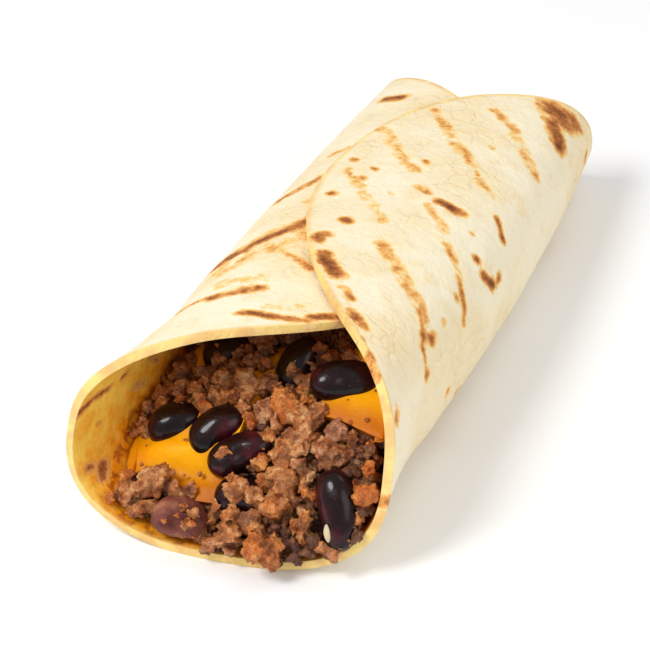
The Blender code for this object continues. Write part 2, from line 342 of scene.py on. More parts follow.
def griddled_flour(name, inside):
    """Soft wheat tortilla off a griddle: chalky cream dough, matt, with toasted bars and blisters."""
    made, tree, shader = new_material(name)
    place = object_place(tree)
    broad = noise_node(tree, place, 22.0, 3.0)
    cloud = noise_node(tree, place, 6.0, 4.0, 0.6)
    patchy = noise_node(tree, place, 2.6, 4.0, 0.6)
    grit = noise_node(tree, place, 0.8, 5.0, 0.65)
    stir = add(tree, "ShaderNodeTexNoise", {"Vector": place, "Scale": 1.0 / (4.0 * MM), "Detail": 3.0})
    stir = add(tree, "ShaderNodeVectorMath", {0: stir.outputs["Color"], 1: (0.004, 0.004, 0.004)},
               operation='MULTIPLY')
    stirred = add(tree, "ShaderNodeVectorMath", {0: place, 1: stir.outputs[0]}, operation='ADD').outputs[0]
    flakes = add(tree, "ShaderNodeTexVoronoi", {"Vector": stirred, "Scale": 1.0 / (5.5 * MM)},
                 feature='DISTANCE_TO_EDGE').outputs["Distance"]
    crack = maths(tree, 'SUBTRACT', 1.0, between(tree, 0.0, 0.09, flakes))
    crack = maths(tree, 'MULTIPLY', crack, between(tree, 0.45, 0.62, broad))

    dough = mix(tree, between(tree, 0.35, 0.65, broad), colour("#f9ecce"), colour("#f5e1b6"))
    warm = maths(tree, 'MULTIPLY', between(tree, 0.5, 0.75, cloud), 0.6)
    dough = mix(tree, warm, dough, colour("#f3d8a0"))
    floury = maths(tree, 'MULTIPLY', between(tree, 0.42, 0.25, patchy), 0.6)
    dough = mix(tree, floury, dough, colour("#fcf4e0"))
    dough = mix(tree, maths(tree, 'MULTIPLY', crack, 0.12), dough, colour("#d9bd84"))
    if inside:
        wet = value_of(tree, "near_filling")
        stain = maths(tree, 'ADD', wet, maths(tree, 'MULTIPLY', between(tree, 0.38, 0.65, cloud), 0.45))
        greasy = mix(tree, between(tree, 0.1, 1.1, stain), colour("#f8cc52"), colour("#ec9204"))
        greasy = mix(tree, maths(tree, 'MULTIPLY', between(tree, 0.46, 0.3, patchy), 0.5), greasy,
                     colour("#f7cf60"))
        smear = maths(tree, 'MULTIPLY', between(tree, 0.35, 0.8, wet), between(tree, 0.5, 0.62, patchy))
        dough = mix(tree, smear, greasy, colour("#b5601a"))
    oiled = mix(tree, between(tree, 0.4, 0.62, cloud), colour("#fad472"), colour("#ebb564"))
    dough = mix(tree, maths(tree, 'MULTIPLY', value_of(tree, "rim"), 0.8), dough, oiled)
    browning = value_of(tree, "browning_inside" if inside else "browning")
    torn = noise_node(tree, place, 3.2, 2.0, 0.45)
    ragged = maths(tree, 'ADD', maths(tree, 'MULTIPLY', maths(tree, 'SUBTRACT', torn, 0.5), 1.3),
                   maths(tree, 'MULTIPLY', maths(tree, 'SUBTRACT', grit, 0.5), 0.5))
    ragged = maths(tree, 'MULTIPLY', ragged, between(tree, 0.02, 0.3, browning))
    toast = maths(tree, 'ADD', browning, ragged)
    freckle = between(tree, 0.68, 0.76, noise_node(tree, place, 3.4, 2.0, 0.5))
    toast = maths(tree, 'ADD', toast, maths(tree, 'MULTIPLY', freckle, 0.2))
    pale, golden = ("#e8b048", "#dd9c3c") if inside else ("#fae0aa", "#f6c97e")
    toasted = ramp(tree, maths(tree, 'MULTIPLY', toast, 0.8),
                   [(0.16, colour(pale)), (0.34, colour(golden)), (0.48, colour("#e5a55c")),
                    (0.62, colour("#c67f42")), (0.77, colour("#a3622f")), (0.95, colour("#774023"))])
    tint = mix(tree, between(tree, 0.1, 0.34, toast), dough, toasted)
    tree.links.new(tint, shader.inputs["Base Color"])
    shader.inputs["Roughness"].default_value = 0.5 if inside else 0.72
    shader.inputs["Specular IOR Level"].default_value = 0.18
    shader.inputs["Subsurface Weight"].default_value = 0.15
    shader.inputs["Subsurface Radius"].default_value = (0.0025, 0.0015, 0.0008)
    shader.inputs["Subsurface Scale"].default_value = 1.0
    relief = bump(tree, cloud, 0.7)
    relief = bump(tree, crack, -0.12, relief)
    relief = bump(tree, patchy, 0.3, relief)
    relief = bump(tree, grit, 0.1, relief)
    relief = bump(tree, toast, -0.1, relief)
    tree.links.new(relief, shader.inputs["Normal"])
    return made


def browned_mince(name, dark):
    """Fried beef mince: brown grains with orange fat and sauce on them, moist, so half glossy."""
    made, tree, shader = new_material(name)
    place = object_place(tree)
    cloud = noise_node(tree, place, 2.4, 4.0, 0.65)
    grit = noise_node(tree, place, 0.55, 5.0, 0.7)
    patch = noise_node(tree, place, 4.5, 3.0)
    tone = value_of(tree, "tone")
    brown = ramp(tree, cloud, [(0.34, colour("#8c471a")), (0.5, colour("#cf7e3e")),
                               (0.64, colour("#f0b47a"))])
    orange = ramp(tree, cloud, [(0.32, colour("#b85010")), (0.5, colour("#dc7822")),
                                (0.66, colour("#f0a04a"))])
    rosy = ramp(tree, cloud, [(0.32, colour("#8e4c2c")), (0.5, colour("#c07a50")),
                              (0.66, colour("#e0a880"))])
    sauce = between(tree, 0.3, 0.8, maths(tree, 'ADD', tone, maths(tree, 'SUBTRACT', patch, 0.35)))
    cool = between(tree, 0.2, 0.5, maths(tree, 'SUBTRACT', maths(tree, 'SUBTRACT', patch, 0.35), tone))
    tint = mix(tree, sauce, mix(tree, cool, brown, rosy), orange)
    tint = mix(tree, maths(tree, 'MULTIPLY', between(tree, 0.5, 0.38, grit), 0.5), tint, colour("#6a3010"))
    # painted shade: the packed core that shows in the gaps between crumbles is pulled most of the way to near
    # black brown
    if dark:
        tint = mix(tree, 0.6, tint, colour("#3a1608"))
    else:
        # painted shade: the deep value darkens creases, undersides, crumbles far back under the upper flap
        # and crumbles in the gaps
        tint = mix(tree, maths(tree, 'MULTIPLY', value_of(tree, "deep"), 0.84), tint, colour("#3c1406"))
    tree.links.new(tint, shader.inputs["Base Color"])
    gloss = ramp(tree, grit, [(0.42, (0.18, 0.18, 0.18, 1.0)), (0.6, (0.55, 0.55, 0.55, 1.0))])
    tree.links.new(gloss, shader.inputs["Roughness"])
    shader.inputs["Specular IOR Level"].default_value = 0.6
    shader.inputs["Subsurface Weight"].default_value = 0.1
    shader.inputs["Subsurface Radius"].default_value = (0.0012, 0.0005, 0.0003)
    shader.inputs["Subsurface Scale"].default_value = 1.0
    relief = bump(tree, noise_node(tree, place, 0.9, 4.0, 0.7), 0.7)
    relief = bump(tree, grit, 0.25, relief)
    tree.links.new(relief, shader.inputs["Normal"])
    return made


def bean_skin(name, dull=False):
    """Cooked dark bean: a tight, wet, purple-black skin, so glossy, over faint dimples."""
    made, tree, shader = new_material(name)
    place = object_place(tree)
    cloud = noise_node(tree, place, 6.0, 3.0)
    fine = noise_node(tree, place, 0.9, 3.0, 0.6)
    if dull:
        tint = ramp(tree, cloud, [(0.35, colour("#5a2a24")), (0.55, colour("#7c4438")),
                                  (0.72, colour("#a06a4a"))])
    else:
        tint = ramp(tree, cloud, [(0.35, colour("#100406")), (0.55, colour("#1f070b")),
                                  (0.74, colour("#4a1019"))])
    dust = between(tree, 0.69, 0.74, noise_node(tree, place, 0.5, 2.0))
    tint = mix(tree, maths(tree, 'MULTIPLY', dust, 0.4), tint, colour("#8a5a48"))
    tree.links.new(tint, shader.inputs["Base Color"])
    shader.inputs["Roughness"].default_value = 0.5 if dull else 0.3
    shader.inputs["Specular IOR Level"].default_value = 0.18 if dull else 0.12
    shader.inputs["Coat Weight"].default_value = 0.0 if dull else 0.36
    shader.inputs["Coat Roughness"].default_value = 0.09
    relief = bump(tree, noise_node(tree, place, 2.6, 2.0), 0.3)
    relief = bump(tree, fine, 0.08, relief)
    tree.links.new(relief, shader.inputs["Normal"])
    return made


def melted_cheese(name):
    """A slice of processed cheddar, warmed till it sags: waxy, dense yellow orange, soft gloss."""
    made, tree, shader = new_material(name)
    place = object_place(tree)
    cloud = noise_node(tree, place, 9.0, 3.0)
    tint = ramp(tree, cloud, [(0.34, colour("#e68a00")), (0.62, colour("#fbb00a"))])
    oil = between(tree, 0.6, 0.78, noise_node(tree, place, 2.0, 3.0, 0.6))
    tint = mix(tree, maths(tree, 'MULTIPLY', oil, 0.3), tint, colour("#cf7206"))
    # painted shade: the front of the slice, where it drapes down, is darkened towards deep orange
    tint = mix(tree, maths(tree, 'MULTIPLY', value_of(tree, "front_drape_shade"), 0.85), tint, colour("#c06400"))
    tree.links.new(tint, shader.inputs["Base Color"])
    shader.inputs["Roughness"].default_value = 0.42
    shader.inputs["Specular IOR Level"].default_value = 0.12
    shader.inputs["Subsurface Weight"].default_value = 0.15
    shader.inputs["Subsurface Radius"].default_value = (0.002, 0.0009, 0.0002)
    shader.inputs["Subsurface Scale"].default_value = 1.0
    relief = bump(tree, noise_node(tree, place, 5.0, 3.0), 0.5)
    tree.links.new(relief, shader.inputs["Normal"])
    return made


# ---------------------------------------------------------------------------------------------
# Tortilla
# ---------------------------------------------------------------------------------------------

# Toasted marks on the flat sheet: points (mm round the roll, mm along it), half width, strength.
OUTER_MARKS = [
    # grill bars across the upper flap, each broken into strokes
    ([(101, 12), (93, 0), (86, -9)], 1.9, 0.42),
    ([(83, -19), (75, -28), (67, -35), (60, -43)], 2.4, 0.46),
    ([(67, -36), (60, -44), (54, -47)], 1.0, 0.72), ([(98, 37), (92, 27), (86, 19)], 2.5, 0.42),
    ([(78, 4), (72, -3)], 2.0, 0.5), ([(70, -8), (64, -14)], 1.5, 0.62),
    ([(63, -16), (55, -24)], 1.4, 0.8), ([(87, 52), (82, 44)], 2.2, 0.42),
    ([(81, 41), (77, 35), (73, 30)], 2.6, 0.44), ([(71, 25), (66, 21)], 1.9, 0.5),
    ([(62, 14), (58, 9)], 1.3, 0.8), ([(72, 60), (65, 55)], 2.2, 0.44),
    ([(65, 51), (61, 46), (57, 41)], 2.4, 0.46), ([(92, 28), (88, 22)], 0.9, 0.56),
    ([(76, 34), (71, 27)], 0.9, 0.56),
    # dark blisters near the back of the upper flap
    ([(58, 73), (54, 73), (51, 75)], 4.6, 0.98), ([(56, 67), (53, 61)], 3.4, 0.95),
    ([(57, 71), (55, 66)], 2.6, 0.8), ([(47, 77)], 2.2, 0.9),
    # blisters along the upper flap's free edge
    ([(96, -22), (97, -25)], 2.2, 0.95), ([(93, -31), (90, -35), (87, -38)], 2.4, 1.0),
    ([(84, -42), (81, -45)], 1.5, 0.8), ([(79, -50), (75, -53)], 1.8, 0.9),
    ([(71, -60), (67, -65)], 1.1, 0.75), ([(63, -69), (60, -73)], 1.0, 0.7), ([(74, -57)], 1.0, 0.7),
    # small spots on the upper flap
    ([(101, -1)], 1.9, 0.8), ([(94, -13)], 2.2, 0.85), ([(101, 18)], 1.6, 0.8), ([(95, 15)], 1.5, 0.8),
    ([(96, 9)], 1.5, 0.7), ([(84, 24)], 1.6, 0.75), ([(76, 8), (71, 7)], 2.1, 1.0),
    ([(83, 12), (80, 11)], 1.8, 0.62), ([(62, -5)], 1.6, 0.95), ([(58, -7), (54, -5)], 1.9, 1.0),
    ([(61, -22)], 1.5, 0.8), ([(60, -39)], 2.2, 1.0), ([(55, -46)], 1.6, 0.9), ([(58, -66)], 2.2, 0.85),
    ([(54, 0), (53, -4)], 1.3, 0.8), ([(60, -32)], 1.4, 0.75), ([(88, -52)], 1.2, 0.65),
    ([(70, 42)], 1.2, 0.6), ([(88, 5)], 1.0, 0.6), ([(66, 2)], 1.2, 0.6),
    # broad strokes on the lower flap
    ([(-57, 6), (-62, 9), (-66, 14)], 2.4, 0.8),
    ([(-59, -29), (-66, -24), (-71, -18), (-77, -12)], 3.4, 0.9),
    ([(-64, -35), (-72, -27), (-80, -20)], 4.6, 0.42), ([(-78, -28), (-88, -34)], 1.5, 0.62),
    ([(-71, -51), (-77, -49), (-81, -47)], 2.3, 0.9), ([(-63, -54), (-69, -50)], 1.5, 0.62),
    ([(-70, -44), (-80, -41)], 3.2, 0.36), ([(-84, -59), (-92, -58), (-98, -56)], 1.7, 0.85),
    ([(-98, -54), (-103, -50)], 1.7, 1.0), ([(-88, -54), (-94, -52)], 2.2, 0.4),
    ([(-84, 4), (-80, 10)], 2.2, 0.4), ([(-55, 65), (-61, 64)], 2.4, 0.95),
    ([(-70, 0), (-76, 5)], 2.6, 0.4), ([(-60, 30), (-66, 36)], 1.8, 0.4),
]
# the same on the inside, where it shows at the mouth and the back end
INNER_MARKS = [
    ([(-55, -84), (-56, -79), (-55, -75)], 1.4, 1.0), ([(-55, -70)], 1.4, 1.0), ([(-39, -84)], 1.8, 1.0),
    ([(-37, -81), (-35, -83)], 2.0, 1.05), ([(-62, -72)], 1.3, 0.8), ([(-60, -66)], 1.3, 0.8),
    ([(-48, -66), (-46, -62)], 1.3, 0.75), ([(-47, -78)], 1.0, 0.7), ([(-52, -60), (-48, -56)], 1.2, 0.8),
    ([(48, -74), (50, -70)], 1.4, 0.8), ([(-40, 78)], 1.8, 0.8), ([(30, 82)], 1.5, 0.8),
    ([(52, 66)], 1.6, 0.8),
]

# how far round from its middle the underside reaches
UNDERSIDE_HALF = 48.0


def hidden_marks():
    """Marks for the underside and lower sides: the same broken bars and spots, spread at random."""
    rng = random.Random(11)
    grill = Vector((-0.6, -0.8))
    made = []
    for bar in range(6):
        start = Vector((46.0 - 20.0 * bar, 62.0 - 4.0 * bar))
        for step in range(7):
            here = start + grill * (18.0 * step + rng.uniform(-3.0, 3.0))
            there = here + grill * rng.uniform(5.0, 11.0)
            if abs(here.x) < UNDERSIDE_HALF and rng.random() < 0.8:
                made.append(([tuple(here), tuple(there)], rng.uniform(1.5, 2.4), rng.uniform(0.45, 0.7)))
    for _ in range(40):
        spot = (rng.uniform(-50.0, 48.0), rng.uniform(-80.0, 80.0))
        made.append(([spot], rng.uniform(1.2, 2.6), rng.uniform(0.6, 0.95)))
    return made


def mark_strength(around, along, marks):
    """How toasted each point of the flat sheet is: strongest in the middle of a mark."""
    total = np.zeros(len(around))
    for points, half_width, strength in marks:
        points = [Vector(point) for point in points]
        nearest = np.full(len(around), 1e9)
        for first, last in zip(points, points[1:] or points):
            run = last - first
            share = ((around - first.x) * run.x + (along - first.y) * run.y) / max(run.length_squared, 1e-9)
            share = np.clip(share, 0.0, 1.0)
            gap = np.hypot(around - first.x - share * run.x, along - first.y - share * run.y)
            nearest = np.minimum(nearest, gap)
        core = strength * (1.0 - smooth(0.1 * half_width, 1.6 * half_width, nearest))
        total = np.maximum(total, core)
    return total


def surface_of(*names):
    """The surfaces of these solids, for finding what lies where."""
    corners, faces = [], []
    for name in names:
        mesh = frame["nodes"][name].data
        first = len(corners)
        corners.extend(vert.co.copy() for vert in mesh.vertices)
        faces.extend([first + i for i in face.vertices] for face in mesh.polygons)
    return BVHTree.FromPolygons(corners, faces)


def inner_wall():
    """The tortilla's faces that look in at the filling."""
    mesh = frame["nodes"]["tortilla"].data
    faces = []
    for face in mesh.polygons:
        y = face.center.y / MM - ROLL_PLACE.y
        axis = Vector((ROLL_PLACE.x - BOW * y * y, face.center.y / MM, HALF_HEIGHT - HEIGHT_TAPER * y)) * MM
        if face.normal.dot(axis - face.center) > 0.0:
            faces.append(tuple(face.vertices))
    return BVHTree.FromPolygons([vert.co.copy() for vert in mesh.vertices], faces)


# how many cells the flat sheet has each way, and how far its face may lie below the solid's
SHEET_CELLS = (248, 184)
SLACK = 0.2
# the shares of its radius where its waves fade out and where its oiled rim starts
CALM_RIM = 0.8
OILED_RIM = 0.984
# how edges are rounded, and how far from the filling the stains reach
SOFT_EDGE = 0.8
SHARP_ANGLE = math.radians(50)
STAIN_REACH = 9.0


def soften_edges(piece, name):
    """Round every sharp edge of a slice or a sheet."""
    edge = piece.modifiers.new(name, 'BEVEL')
    edge.width = SOFT_EDGE * MM
    edge.segments = 3
    edge.limit_method = 'ANGLE'
    edge.angle_limit = SHARP_ANGLE


def make_tortilla(outside, inside):
    """The round sheet: a grid pulled into a circle, rolled up, thickened and softened at its rim."""
    deselect()
    bpy.ops.mesh.primitive_grid_add(x_subdivisions=SHEET_CELLS[0], y_subdivisions=SHEET_CELLS[1], size=2.0)
    sheet = bpy.context.object
    sheet.name = "rolled_tortilla"
    flat = points_of(sheet.data)
    across, along = flat[:, 0], flat[:, 1]
    y = SHEET_ALONG / 2 * along * np.sqrt(1 - across * across / 2)
    around = SHEET_ROUND / 2 * across * np.sqrt(1 - along * along / 2)
    radius = np.hypot(y / (SHEET_ALONG / 2), around / (SHEET_ROUND / 2))
    turn = np.arctan2(y, around)
    ragged = noise_at(np.stack([np.cos(turn), np.sin(turn), 0 * turn], 1), 0.22, 3.0)
    pull = 1.0 - 0.004 * (1.0 + ragged) * radius ** 6
    y, around = y * pull, around * pull + SHEET_OFFSET + SHEET_SKEW * y * pull
    rolled = wrap(around, y, np.zeros(len(y)))
    swell = 0.30 * noise_at(rolled / MM, 15.0, 5.0) + 0.14 * noise_at(rolled / MM, 5.0, 9.0)
    free = 1.0 - smooth(CALM_RIM, 1.0, radius)
    set_points(sheet.data, wrap(around, y, 0.5 * SLACK + SLACK * free - swell * free))
    add_values(sheet.data, "rim", smooth(OILED_RIM, 1.0, radius))
    add_values(sheet.data, "browning", mark_strength(around, y, OUTER_MARKS + hidden_marks()))
    add_values(sheet.data, "browning_inside", mark_strength(around, y, INNER_MARKS))
    only(sheet)
    bpy.ops.object.mode_set(mode='EDIT')
    bpy.ops.mesh.select_all(action='SELECT')
    bpy.ops.mesh.flip_normals()
    bpy.ops.object.mode_set(mode='OBJECT')
    for look in (outside, inside):
        sheet.data.materials.append(look)
    thick = sheet.modifiers.new("dough", 'SOLIDIFY')
    thick.thickness = (THICKNESS - SLACK) * MM
    thick.offset = -1.0
    thick.material_offset = 1
    soften_edges(sheet, "soft rim")
    apply_modifiers(sheet)
    bpy.ops.object.shade_smooth()
    filling = surface_of("ground_meat", "cheese_left", "cheese_right")
    near = [math.exp(-filling.find_nearest(vert.co)[3] / (STAIN_REACH * MM)) for vert in sheet.data.vertices]
    add_values(sheet.data, "near_filling", near)
    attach(sheet, "root")
    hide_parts("tortilla")


# ---------------------------------------------------------------------------------------------
# Meat
# ---------------------------------------------------------------------------------------------


def copy_of_node(node, name):
    """A welded copy of a solid, to be worked into the visible piece."""
    piece = bpy.data.objects.new(name, frame["nodes"][node].data.copy())
    bpy.context.scene.collection.objects.link(piece)
    only(piece)
    bpy.ops.object.mode_set(mode='EDIT')
    bpy.ops.mesh.select_all(action='SELECT')
    bpy.ops.mesh.remove_doubles(threshold=0.00001)
    bpy.ops.object.mode_set(mode='OBJECT')
    return piece


def roughen(piece, lump, depth):
    """Push the surface in and out in soft lumps this many millimetres wide and deep."""
    texture = bpy.data.textures.new("lumps", 'CLOUDS')
    texture.noise_scale = lump * MM
    texture.noise_depth = 2
    push = piece.modifiers.new("lumps", 'DISPLACE')
    push.texture = texture
    push.texture_coords = 'LOCAL'
    push.strength = depth * MM
    push.mid_level = 0.5


def crack_into_grains(piece, grain, depth):
    """Push the surface out in the middle of each grain and leave sharp creases between them."""
    texture = bpy.data.textures.new("grains", 'VORONOI')
    texture.noise_scale = grain * MM
    texture.weight_1 = -1.0
    texture.weight_2 = 1.0
    push = piece.modifiers.new("grains", 'DISPLACE')
    push.texture = texture
    push.texture_coords = 'LOCAL'
    push.strength = depth * MM
    push.mid_level = 0.3


def voxel(piece, size):
    """Join all that overlaps in a piece under one skin, with faces this many millimetres wide."""
    remesh = piece.modifiers.new("one skin", 'REMESH')
    remesh.mode = 'VOXEL'
    remesh.voxel_size = size * MM
    remesh.use_smooth_shade = True


# the faces of the core's skin, and how far it is sunk below the solid's
CORE_SKIN = 0.9
CORE_DEPTH = 1.0


def make_heap_core(look):
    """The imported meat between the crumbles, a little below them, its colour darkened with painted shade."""
    core = copy_of_node("ground_meat", "packed_mince")
    voxel(core, CORE_SKIN)
    sink = core.modifiers.new("below the crumbles", 'DISPLACE')
    sink.strength = -CORE_DEPTH * MM
    sink.mid_level = 0.0
    roughen(core, 2.2, 2.2)
    roughen(core, 1.0, 0.8)
    apply_modifiers(core)
    add_values(core.data, "tone", np.zeros(len(core.data.vertices)))
    finish_piece(core, look, "browned_meat", "ground_meat")


def join_new(name, before):
    """Join every object made since then into one."""
    made = [piece for piece in bpy.context.scene.objects if piece.name not in before]
    deselect()
    for piece in made:
        piece.select_set(True)
    bpy.context.view_layer.objects.active = made[0]
    bpy.ops.object.join()
    joined = bpy.context.object
    joined.name = name
    settle(joined)
    return joined


def crumble_shape(seed, size, skin):
    """One crumble: a broken lump of mince with grains pressed all over it, under one skin."""
    rng = random.Random(seed)
    before = {piece.name for piece in bpy.context.scene.objects}
    deselect()

    def way():
        return Vector((rng.gauss(0, 1), rng.gauss(0, 1), rng.gauss(0, 1))).normalized()

    lumps = []
    for _ in range(3 + int(size > 4) + 2 * int(size > 6)):
        radius = size * rng.uniform(0.13, 0.25)
        lumps.append((way() * (size * 0.5 - radius) * rng.uniform(0.7, 1.0), radius))
    lumps += [(Vector((0, 0, 0)), size * 0.2)]
    grains = [(centre + way() * radius * 1.1, rng.uniform(0.3, 0.8)) for centre, radius in lumps
              for _ in range(int(4 + radius * radius * 9))]
    for centre, radius in lumps + grains:
        turn = three(rng, 0, math.tau)
        stretch = three(rng, 0.75, 1.25)
        bpy.ops.mesh.primitive_ico_sphere_add(subdivisions=1, radius=radius * MM, location=centre * MM,
                                              rotation=turn, scale=stretch)
    crumble = join_new("crumble", before)
    voxel(crumble, skin)
    crack_into_grains(crumble, 1.1, 0.9)
    roughen(crumble, 0.5, 0.4)
    apply_modifiers(crumble)
    points = points_of(crumble.data)
    points = (points - (points.max(0) + points.min(0)) / 2) / (0.5 * np.mean(points.max(0) - points.min(0)))
    shape = (points, [tuple(face.vertices) for face in crumble.data.polygons])
    bpy.data.objects.remove(crumble)
    return shape


def grain_shape(seed):
    """One grain for scattering, with few faces."""
    deselect()
    bpy.ops.mesh.primitive_ico_sphere_add(subdivisions=2, radius=1.0)
    grain = bpy.context.object
    points = points_of(grain.data)
    lumps = noise_at(points, 0.8, seed * 7.3)
    points = points * (1.0 + 0.35 * lumps)[:, None]
    shape = (points, [tuple(face.vertices) for face in grain.data.polygons])
    bpy.data.objects.remove(grain)
    return shape


class Heap:
    """Collects copies of shapes of radius 1, each with its own place and tone, into one mesh."""

    def __init__(self):
        self.points, self.faces, self.tones, self.painted_shades = [], [], [], []
        self.count = 0

    def add(self, shape, matrix, tone, deep=0.0):
        """Add one copy: painted shade darkens its creases and underside, and all of it by deep."""
        points, faces = shape
        turn = np.array(matrix.to_3x3())
        turned = points @ turn.T
        self.points.append(turned + np.array(matrix.translation))
        self.faces.extend(tuple(self.count + i for i in face) for face in faces)
        self.tones.append(np.full(len(points), tone))
        # painted shade: darker towards each crumble's middle, where its creases are, and on its lower half
        crease_shade = smooth(0.95, 0.5, np.linalg.norm(points, axis=1))
        underside_shade = smooth(0.1, -1.0, turned[:, 2] / np.abs(turned[:, 2]).max())
        self.painted_shades.append(np.clip(deep + 0.55 * crease_shade + 0.6 * underside_shade, 0.0, 1.0))
        self.count += len(points)

    def piece(self, name, look, *nodes):
        """Make the finished piece."""
        mesh = bpy.data.meshes.new(name)
        mesh.from_pydata(np.concatenate(self.points).tolist(), [], self.faces)
        piece = bpy.data.objects.new(name, mesh)
        bpy.context.scene.collection.objects.link(piece)
        mesh.shade_smooth()
        add_values(mesh, "tone", np.concatenate(self.tones))
        add_values(mesh, "deep", np.concatenate(self.painted_shades))
        finish_piece(piece, look, "browned_meat", *nodes)


# Crumbles in the mouth, each as x, y, z and size in millimetres, then tone: 1 is orange with
# sauce, 0 is plain brown, and below 0 is rosy brown.
MOUTH_CRUMBLES = [
    # up the left wall
    (-25, -49, 20, 8.5, 0.2), (-28, -58, 16, 5.5, 0.0), (-20, -58, 21, 6.5, 0.2), (-28, -67, 14, 5, 0.0),
    (-24, -68, 15.5, 4.4, 0.0), (-26, -62, 17.5, 6, 0.1), (-22.5, -53, 21, 6.5, 0.2),
    (-28, -63, 15.5, 5, 0.1), (-17, -53, 23, 6.5, 0.1), (-14, -57.5, 23.5, 6.0, 0.1),
    (-18, -61.5, 20.5, 4.5, 0.1), (-29, -53, 16, 6, 0.1), (-5, -44.5, 30, 6.5, 0.0),
    (-3.5, -49.5, 29.2, 5.8, 0.1), (-7, -41.5, 30.5, 6.5, 0.0), (-24, -59.5, 19.6, 5.6, 0.1),
    (-2.8, -60, 25.8, 5.6, 0.1), (-6, -60.8, 25, 5.2, 0.2), (-14, -62.5, 22.4, 4.8, 0.1),
    (-15.5, -60.2, 22.8, 5.2, 0.1), (1.2, -62.0, 25.4, 4.6, 0.2), (-22, -64, 18.6, 5.0, 0.1),
    (-18.5, -63.3, 20.2, 4.6, 0.2), (-11.5, -63.8, 22, 4.4, 0.2), (-8, -62.5, 23.6, 5.0, 0.1),
    (-14, -51, 26, 5.5, 0.0), (-10, -53, 26.5, 5.5, 0.1), (-9, -49, 28, 5.2, 0.2),
    (-4, -47, 29.5, 5.2, 0.1),
    # behind, under the ceiling
    (-9, -57.5, 25.5, 7.5, 0.15), (-4, -57.5, 27, 8.0, 0.1), (-10.5, -61.5, 23.4, 5.6, 0.3),
    (0.3, -56.5, 27.5, 6.4, 0.0), (-2.5, -52, 29, 3.2, 0.8), (0.3, -51, 28.5, 2.8, 0.3),
    (5.5, -59, 28.2, 3.6, 0.0), (5.7, -54, 30, 4.4, 0.2), (9.3, -48.5, 32, 5.4, 0.7),
    (12.2, -48, 32, 4.6, 0.5), (13, -44, 33, 5.6, 0.2), (7, -50, 31, 4.6, 0.4), (2, -42.5, 32, 6.5, 0.1),
    (-3, -41.5, 31, 6.5, 0.1), (7, -43, 33, 6.0, 0.2), (17, -47.5, 32.5, 5.0, 0.3),
    (-8, -44, 29.5, 6, 0.1), (-6, -51.5, 28, 5, 0.1), (-20, -42, 24, 7, 0.1), (-3, -62.5, 24.5, 4.6, 0.1),
    # the middle of the heap
    (0, -65.5, 23.6, 4.6, 0.6), (3, -63, 25.5, 6.2, -0.1), (9.7, -56.3, 30, 5.6, 0.5),
    (12, -60.5, 29.4, 3.6, 1.0), (8, -62.8, 27.4, 8.4, 0.4), (14, -64.5, 27, 9.0, -0.2),
    (21, -66, 27, 5.8, -0.1), (13, -68.5, 24, 8.0, 0.1), (17, -68.3, 24.5, 5.6, 0.2),
    (11, -71.5, 21.4, 8.6, 0.3), (10.5, -68, 24, 4.0, -0.1), (18, -74, 19.5, 2.6, 0.5),
    (15.5, -73.5, 20, 5.6, 0.0), (5, -68.5, 23, 4.8, 0.1), (7.5, -66.5, 24.8, 5.0, 0.2),
    (6, -73.5, 19.8, 5.0, 0.2),
    # the front slope
    (9.6, -76, 17.4, 7.0, 0.1), (7.2, -80, 15, 6.0, 0.3), (12.4, -76.4, 17.4, 7.8, 0.2),
    (19, -76.5, 16.8, 4.4, 0.3), (17, -76, 17.4, 4.2, 0.3), (3, -80.2, 15.4, 6.4, 0.15),
    (0.5, -77.7, 16.4, 2.4, 0.9), (-1, -82.6, 9.6, 5.8, 0.2), (7, -83, 10, 6.6, 0.1),
    (12.3, -79.6, 13.6, 7.6, 0.6), (18.4, -78.3, 12.6, 5.0, 0.0), (9.5, -84.5, 8.4, 5.0, 0.0),
    (14, -84, 6, 5.6, 0.0), (4.5, -86, 5.4, 5.4, 0.0), (-4, -86, 5, 5.4, 0.1), (3, -83.2, 11, 5.5, 0.1),
    # the left foot
    (-17.0, -80.8, 12.8, 8.6, 0.0), (-14, -81, 11.6, 6.0, 0.1), (-22, -82.5, 8, 6.8, 0.0),
    (-20, -85, 5, 4.6, 0.0), (-9, -80.3, 11.4, 4.2, 0.2), (-1.6, -87.6, 3.6, 4.6, -0.1),
    (-23, -79.5, 10, 5.8, 0.1), (-25.2, -81.5, 7, 4.6, 0.1), (-16, -84.4, 7.6, 5.5, 0.0),
    (-22.6, -81.6, 9.4, 5.0, 0.1), (-25, -83, 7.2, 4.2, 0.0), (-5.2, -88.5, 9.6, 3.8, 0.2),
    (-4.6, -86.8, 11.4, 3.0, 0.1), (-7.4, -89.6, 12.4, 1.3, 0.9), (-10, -90.6, 10.6, 1.2, 0.9),
    (-7.4, -86.4, 12.4, 2.2, 0.2),
    # the right wall
    (30.6, -74, 18, 7.0, 0.6), (29.4, -77.5, 14, 5.5, 0.4), (30, -70, 21.5, 4.4, 0.5),
    (29, -66, 26, 2.0, 0.9), (24, -66, 24.4, 6.0, 0.1), (26, -83, 7.5, 5.0, 0.1),
    (28.6, -81, 10.5, 4.5, 0.2),
    # loose crumbs on beans and dough
    (-2.5, -75.3, 21.2, 3.2, 0.7), (25.7, -79, 19, 1.4, 0.9), (-26.4, -85.5, 7.2, 3.0, 1.0),
    (-13.8, -70.5, 17.4, 1.4, 0.6), (-16, -48, 28, 1.2, 0.7), (-10, -47, 28, 2.6, 0.7),
    (-19, -63.5, 22, 1.2, 0.6), (-7.5, -49.5, 28, 3.0, 0.6),
]


# Crumbles under the first width are small, under the second middle. The rest are large.
SMALL_BELOW = 3.6
MIDDLE_BELOW = 6.2
# how many places are tried for the others, and where along the burrito the filling can be seen
CRUMBLE_TRIES = 9000
SHOWING_FRONT = -40.0
SHOWING_BACK = 50.0


def bean_nodes():
    return [name for name in frame["nodes"] if name.startswith("bean")]


